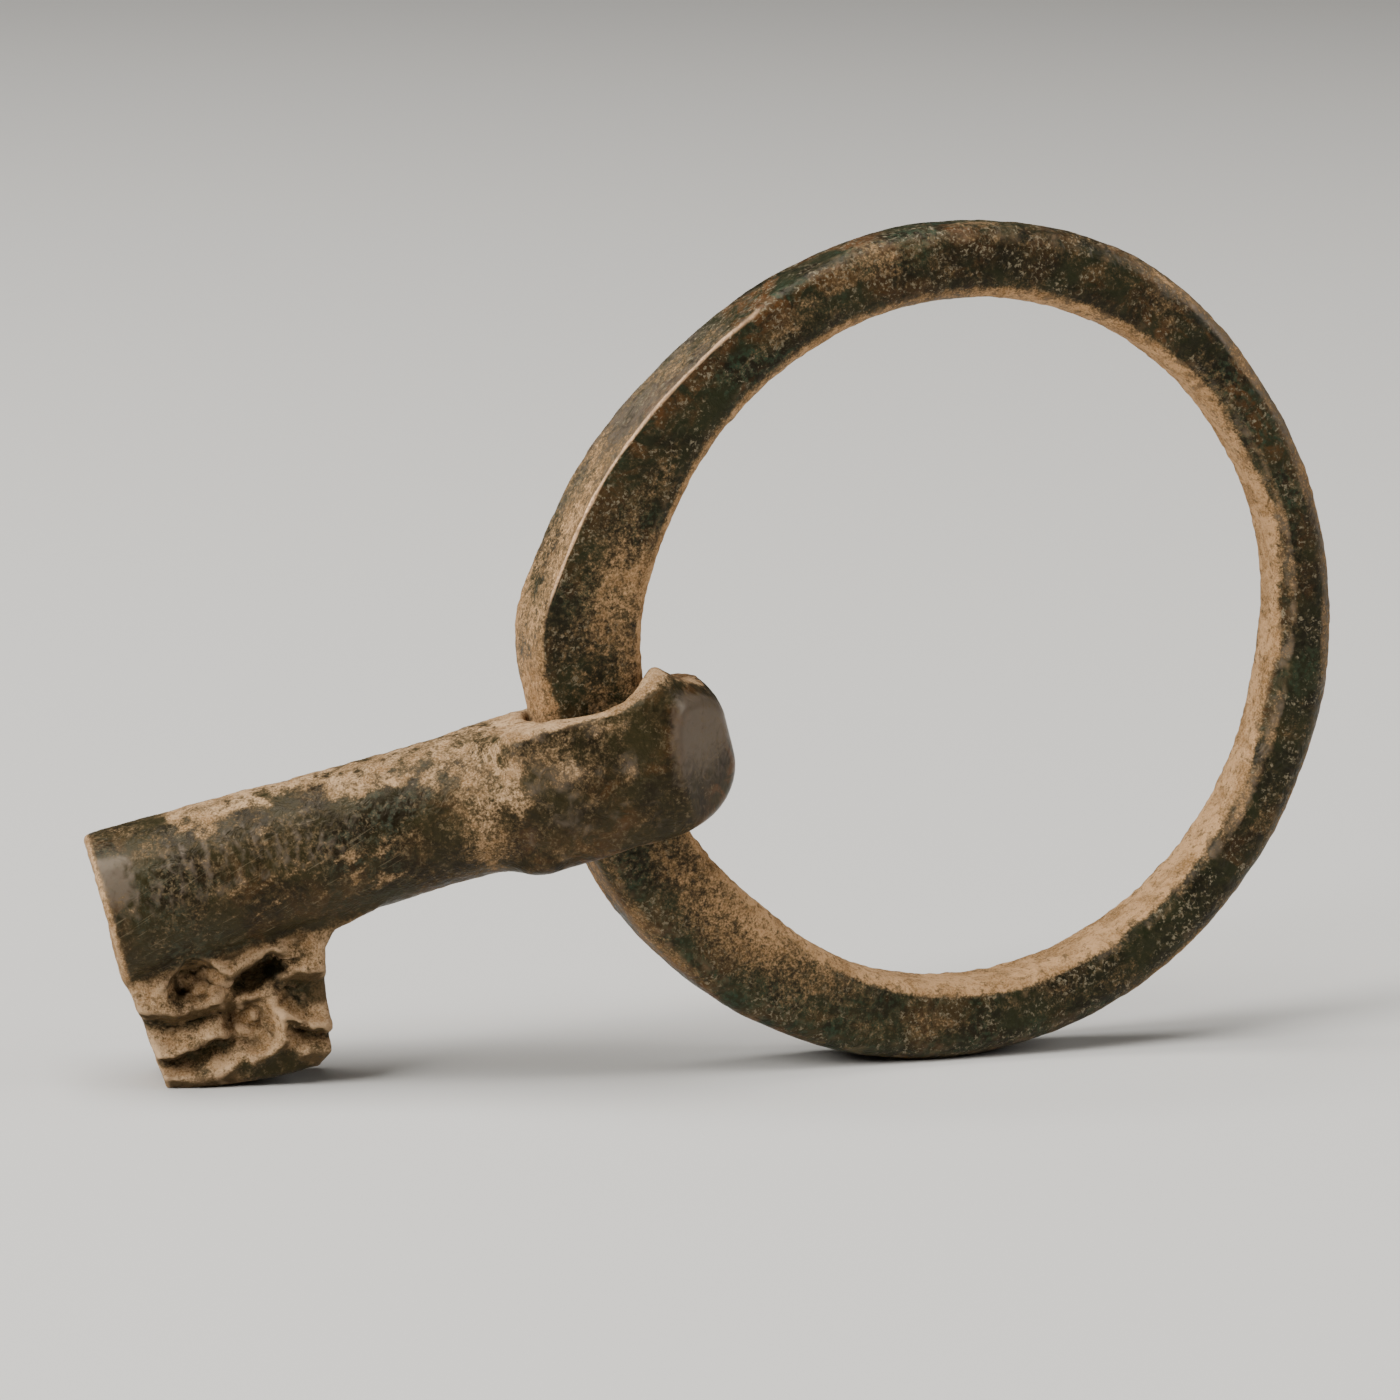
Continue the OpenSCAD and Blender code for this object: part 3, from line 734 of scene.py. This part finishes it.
castingPoints, castingFaces = skinOf(castingField, casting["skinLow"], casting["skinHigh"], casting["step"])
castingPoints, castingFacts = wearCasting(castingPoints, castingFaces)
worldPoints = castingPoints @ keyAxes + np.array(eyeCentre) / mm
makePiece("keyCasting", worldPoints, castingFaces, castingFacts, "key", ["shank", "bit", "collar", "eye"],
          keyBronze)


# The ring: a tapered hoop, thickest in the eye, swept from sections that have their own corner roundings

ringFinish = dict(keyFinish)
ringFinish.update({
    "dark": "#14140c",
    "olive": "#222616",
    "brown": "#2f2e1d",
    "verdigris": "#273a2b",
    "grain": "#827862",
    "sand": "#b48d63",
    "sandPaleAndHighlight": "#cea87e",
})
ringBronze = buriedBronze("patinatedBronzeRing", ringFinish)

ringLow, ringHigh = (np.array(c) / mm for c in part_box("ring"))
ringCentre = (ringLow + ringHigh) / 2
toEye = np.array(eyeCentre) / mm - ringCentre
# marks along the ring: angle in degrees, spread, amount
hoop = {
    "outerR": (ringHigh[2] - ringLow[2]) / 2,
    "eyeT": 4.7,                 # radial thickness in the eye and on the far side
    "farT": 2.9,
    "eyeW": 4.6,                 # width across the ring, the same way
    "farW": 3.4,
    "eyeAngle": math.atan2(toEye[2], toEye[0]),
    # uneven, hand-made outlines
    "outerBumps": [(177, 9, 0.85), (163, 14, 0.3), (131, 24, -0.65), (66, 20, 0.5)],
    "innerBumps": [(172, 12, 0.3), (233, 17, -0.5), (285, 30, 0.3), (352, 18, -0.3)],
    "outerCorner": 1.2,          # corner radii
    "innerCorner": 1.25,
    "keenMarks": [(162, 26, 1.1), (132, 18, 0.8)],      # where the outer edges are still crisp
    "keenBy": (0.95, 0.5),       # how much less round, front and back
    "crispMarks": [(200, 45, 1.0)],        # the same for the inner front edge
    "crispBy": 0.5,
    "heldMarks": [(193, 8, 0.35)],         # rounded by rubbing in the eye
    "packedMarks": [(189, 5, 0.45)],       # soil packed behind the ring
    "packedHalf": 2.0,
    "stations": 760,
    "cornerPoints": 15,
    "sidePoints": 8,
}


def bumps(degrees, marks):
    total = np.zeros_like(degrees)
    for at, spread, amount in marks:
        total += amount * np.exp(-(((degrees - at + 180) % 360 - 180) / spread) ** 2)
    return total


def sweepHoop(h):
    angle = np.linspace(0, 2 * np.pi, h["stations"], endpoint=False)
    degrees = np.degrees(angle)
    fromEye = angle - h["eyeAngle"]
    shift = (h["eyeT"] - h["farT"]) / 2
    lean = -shift * np.cos(fromEye)
    holeR = h["outerR"] - (h["eyeT"] + h["farT"]) / 2
    inner = lean + np.sqrt(holeR ** 2 - shift ** 2 + lean ** 2) + bumps(degrees, h["innerBumps"])
    outer = h["outerR"] + bumps(degrees, h["outerBumps"])
    half = (h["eyeW"] + h["farW"] + (h["eyeW"] - h["farW"]) * np.cos(fromEye)) / 4
    keen = bumps(degrees, h["keenMarks"]).clip(0, 1)
    crisp = bumps(degrees, h["crispMarks"]).clip(0, 1)
    held = bumps(degrees, h["heldMarks"])
    keenFront, keenBack = h["keenBy"]
    corners = (     # radius along the ring, side out or in, side front or back, first turn
        (h["outerCorner"] - keenFront * keen + held, outer, 1, -1, 0.0),
        (h["innerCorner"] - h["crispBy"] * crisp + held, inner, -1, -1, -0.5),
        (h["innerCorner"] + held, inner, -1, 1, -1.0),
        (h["outerCorner"] - keenBack * keen + held, outer, 1, 1, -1.5))
    rows = []
    for k, edge, outward, back, first in corners:
        turn = (first - np.linspace(0, 0.5, h["cornerPoints"])) * np.pi
        r = (edge - outward * k)[:, None] + k[:, None] * np.cos(turn)
        d = (back * (half - k))[:, None] + k[:, None] * np.sin(turn)
        rows.append(np.stack([r, d], -1))
    section = []
    for row, after in zip(rows, rows[1:] + rows[:1]):
        t = np.linspace(0, 1, h["sidePoints"] + 2)[1:-1, None]
        section += [row, row[:, -1:] * (1 - t) + after[:, :1] * t]
    section = np.concatenate(section, 1)
    domed = (1 - (section[..., 1] / h["packedHalf"]) ** 2).clip(0)
    packed = bumps(degrees, h["packedMarks"])[:, None] * domed
    section[..., 0] += packed * (section[..., 0] > (inner + outer)[:, None] / 2)
    turned = np.stack([section[..., 0] * np.cos(angle)[:, None], section[..., 1],
                       section[..., 0] * np.sin(angle)[:, None]], -1)
    ids = np.arange(turned.shape[0] * turned.shape[1]).reshape(turned.shape[:2])
    after = np.roll(ids, -1, 0)
    faces = np.stack([ids, after, np.roll(after, -1, 1), np.roll(ids, -1, 1)], -1).reshape(-1, 4)
    depth = (section[..., 0] - inner[:, None]) / (outer - inner)[:, None]    # 0 inside, 1 outside
    across = np.zeros(section.shape[1])      # 1 in the middle of the outer front edge
    across[:h["cornerPoints"]] = np.sin(np.linspace(0.15, 0.85, h["cornerPoints"]) * np.pi)
    return turned.reshape(-1, 3), faces, depth.ravel(), (keen[:, None] ** 2 * across ** 3).ravel()


# Where soil, rust, rubbing and painted sheen lie on the ring, as marks along it
hoopWear = {
    "looseMm": 2.6,              # patchiness of the soil, then finer
    "fineMm": 0.9,
    "rustMm": 4.0,
    "greenMm": 5.0,
    "drawn": (2.2, 3.2, 1.6),    # stretch along the ring, squeeze through and across it
    "streakMm": 1.6,
    "outSoil": [(172, 30, 0.44), (190, 10, 0.3), (215, 13, 0.4), (330, 45, 0.25), (40, 42, 0.42)],
    "inClean": [(92, 34, 0.35)],
    "lowPatch": [(228, 24, 1.0)],          # soil on the front below the eye, then above and in it
    "eyePatch": [(190, 13, 0.6), (166, 12, 0.85)],
    "topBand": [(104, 24, 1.0), (70, 18, 0.6)],
    "litEdge": [(38, 30, 1.0), (0, 20, 0.5)],           # rubbed outer edge of the far side, painted lighter with pale soil and grey painted sheen
    "bevel": [(350, 60, 1.0)],   # the inner edge is chamfered on the far side
    "thinEdge": [(170, 20, 0.3)],          # the bared front edge is finer here
    "besideEdge": [(116, 20, 1.0), (146, 16, 0.7)],     # brown beside it
    "topRust": [(105, 20, 0.12)],
    "rustStreaks": [(46, 22, 1), (135, 10, 0.6)],
    "lowGreen": [(228, 22, 0.7)],
    # grey painted sheen on the outer face beside the bared edge
    "outSheen": [(145, 24, 1.0)],
    "outPolish": [(48, 20, 1.0)],
}


def wearHoop(points, faces, depth, worn):
    w = hoopWear
    x, y, z = points.T
    degrees = np.degrees(np.arctan2(z, x)) % 360
    mark = {kind: bumps(degrees, value) for kind, value in w.items() if isinstance(value, list)}
    bevel = mark["bevel"].clip(0, 1)
    edges = edgesOf(faces)
    normals = normalsOf(points, faces)
    facing = (normals[:, 0] * x + normals[:, 2] * z) / np.hypot(x, z)
    stretch, through, sideways = w["drawn"]      # drawn out the way it was hammered
    alongRing = np.stack([x / stretch, z / stretch, through * depth * hoop["eyeT"] + sideways * y], 1)
    loose = 0.6 * grain(points, w["looseMm"], 15.0, 3) + 0.6 * grain(alongRing, w["looseMm"], 17.0, 3)
    fine = grain(points, w["fineMm"], 19.0, 2)
    front = softStep(0.35, 0.8, -normals[:, 1])
    back = softStep(0.35, 0.8, normals[:, 1])
    outSide = softStep(0.3, 0.8, facing)
    inSide = softStep(0.3 + 0.35 * bevel, 0.7 + 0.22 * bevel, -facing + 0.25 * bevel * loose)
    innerBevel = between(-facing, 0.2, 0.4, 0.65, 0.85) * softStep(0, 0.3, -normals[:, 1]) * bevel
    # painted light on the far outer edge: pale soil and grey sheen
    litEdge = mark["litEdge"].clip(0, 1) * softStep(0.68, 0.84, depth + 0.1 * loose)
    litEdge *= softStep(0.0, 0.2, -normals[:, 1])
    # soil: thick inside the ring, in patches outside and on the faces
    outSoil = 0.08 + 0.4 * loose + mark["outSoil"]
    inSoil = 0.92 + 0.35 * loose - mark["inClean"]
    lowPatch = mark["lowPatch"] * softStep(1.0, 0.2, depth + 0.3 * loose)
    eyePatch = mark["eyePatch"] * softStep(1.0, 0.4, depth + 0.3 * loose)
    topBand = mark["topBand"] * softStep(0.35, 0.75, depth + 0.5 * loose)
    faceSoil = 0.02 + 0.3 * loose + 0.62 * lowPatch + 0.6 * eyePatch + 0.16 * topBand
    soil = np.maximum.reduce([
        outSide * outSoil, inSide * inSoil, front * faceSoil, back * (faceSoil + 0.1),
        litEdge * (0.46 + 0.4 * loose), innerBevel * (0.34 + 0.6 * loose)])
    soil = np.clip(soil, 0, 1)
    points = weather(points, faces, soil, 0.6 * worn, 41.0)
    # what the finish follows, on the weathered skin
    close = hollows(points, edges, normalsOf(points, faces), 10)
    thin = mark["thinEdge"]
    bared = softStep(0.4 + thin, 0.95 + 0.3 * thin, worn + 0.25 * fine + 0.3 * loose) * (0.85 + 0.4 * loose)
    ridge = np.maximum(softStep(0.02, 0.06, -close) * 0.4, bared)
    rust = softStep(-0.1, 0.4, grain(points, w["rustMm"], 23.0, 2)) * (1 - 0.65 * front) + mark["topRust"]
    rust += 0.5 * mark["besideEdge"].clip(0, 1) * softStep(0.45, 0.8, depth + 0.25 * loose) * front
    streaks = softStep(0.0, 0.35, grain(alongRing, w["streakMm"], 71.0, 3))
    facts = {
        "soil": soil * (1 - ridge),
        "ridge": ridge,
        "rust": rust + 0.8 * front * mark["rustStreaks"] * streaks,
        "green": softStep(-0.2, 0.4, grain(points, w["greenMm"], 37.0, 2)) + mark["lowGreen"] * depth,
        # painted sheen: grey on the lit far edge, the inner bevel and the outer face
        "paintedSheen": np.maximum.reduce([
            0.95 * litEdge, innerBevel * (0.6 + 0.9 * loose + 0.5 * fine),
            0.75 * mark["outSheen"] * outSide]),
        "polish": mark["outPolish"] * outSide,
    }
    for kind in ("hollow", "crestHighlight", "scored"):      # only the key has these
        facts[kind] = np.zeros(len(points))
    return points, facts


hoopPoints, hoopFaces, hoopDepth, hoopWorn = sweepHoop(hoop)
hoopPoints, hoopFacts = wearHoop(hoopPoints, hoopFaces, hoopDepth, hoopWorn)
makePiece("suspensionRing", hoopPoints + ringCentre, hoopFaces, hoopFacts, "ring", ["ring"],
          ringBronze)


# Studio: pale floor, soft boxes and the photograph's view

studio = {
    "floor": "#d2cfc9",
    "floorSize": 8.0,
    "mottleMm": 2000 / 3,          # slow unevenness of the rolled paint
    "air": "#e6e4e0",
    "airStrength": 0.07,
    "azimuth": -20.25,             # degrees
    "elevation": 10.4,
    "roll": -1.4,
    "distance": 300 * mm,
    "pixelsPerMm": 20.2,
    "framePixels": 1400,
    "sensorMm": 36,
    "centrePixel": (727, 647),     # where the middle of the object falls in the frame
}
middle = (Vector(cadLow) + Vector(cadHigh)) / 2

plaster = bpy.data.materials.new("paintedPlaster")      # flat pale paint on a smooth board, no gloss
plaster.use_nodes = True
tree = plaster.node_tree
rolled = addNode(tree, "ShaderNodeTexNoise", {}, {
    "Scale": studio["floorSize"] / (studio["mottleMm"] * mm), "Detail": 3.0})
sheen = addNode(tree, "ShaderNodeMapRange", {}, {"Value": rolled, "To Min": 0.85, "To Max": 0.95})
paint = tree.nodes["Principled BSDF"]
tree.links.new(sheen, paint.inputs["Roughness"])
paint.inputs["Base Color"].default_value = linear(studio["floor"])
half = studio["floorSize"] / 2
floorMesh = bpy.data.meshes.new("floor")
floorCorners = [(-half, -half, 0), (half, -half, 0), (half, half, 0), (-half, half, 0)]
floorMesh.from_pydata(floorCorners, [], [(0, 1, 2, 3)])
floorMesh.materials.append(plaster)
floor = bpy.data.objects.new("floor", floorMesh)
bpy.context.scene.collection.objects.link(floor)

softBoxes = {   # place in metres, width and height, watts
    "topBox": ((-0.2, 0.0, 1.0), (0.7, 0.7), 12.5),
    "leftBox": ((-0.7, -0.2, 0.5), (0.4, 0.4), 9.0),
    "rightBox": ((0.8, -0.25, 0.45), (0.4, 0.4), 3.0),
}
for name, (place, size, power) in softBoxes.items():
    light = bpy.data.lights.new(name, "AREA")
    light.shape = "RECTANGLE"
    light.size, light.size_y = size
    light.energy = power
    box = bpy.data.objects.new(name, light)
    box.location = place
    box.rotation_euler = (middle - Vector(place)).to_track_quat("-Z", "Y").to_euler()
    bpy.context.scene.collection.objects.link(box)
world = bpy.data.worlds.new("studioAir")
world.use_nodes = True
air = world.node_tree.nodes["Background"]
air.inputs["Color"].default_value = linear(studio["air"])
air.inputs["Strength"].default_value = studio["airStrength"]
bpy.context.scene.world = world

turnA, liftE = math.radians(studio["azimuth"]), math.radians(studio["elevation"])
forward = Vector((-math.sin(turnA) * math.cos(liftE), math.cos(turnA) * math.cos(liftE), -math.sin(liftE)))
right = Vector((math.cos(turnA), math.sin(turnA), 0))
up = right.cross(forward)
rollA = math.radians(studio["roll"])
pixel = mm / studio["pixelsPerMm"]
offX = (studio["framePixels"] / 2 - studio["centrePixel"][0]) * pixel
offY = (studio["centrePixel"][1] - studio["framePixels"] / 2) * pixel
cameraX = right * math.cos(rollA) - up * math.sin(rollA)
cameraY = right * math.sin(rollA) + up * math.cos(rollA)
eyePoint = middle + cameraX * offX + cameraY * offY - forward * studio["distance"]
lens = bpy.data.cameras.new("camera")
lens.sensor_width = studio["sensorMm"]
lens.lens = studio["sensorMm"] * studio["distance"] / (studio["framePixels"] * pixel)
lens.clip_start = 0.01
camera = bpy.data.objects.new("camera", lens)
turned = Matrix((cameraX, cameraY, -forward)).transposed().to_4x4()
camera.matrix_world = Matrix.Translation(eyePoint) @ turned
bpy.context.scene.collection.objects.link(camera)
bpy.context.scene.camera = camera
print("studio: lens", round(lens.lens, 1), "mm")
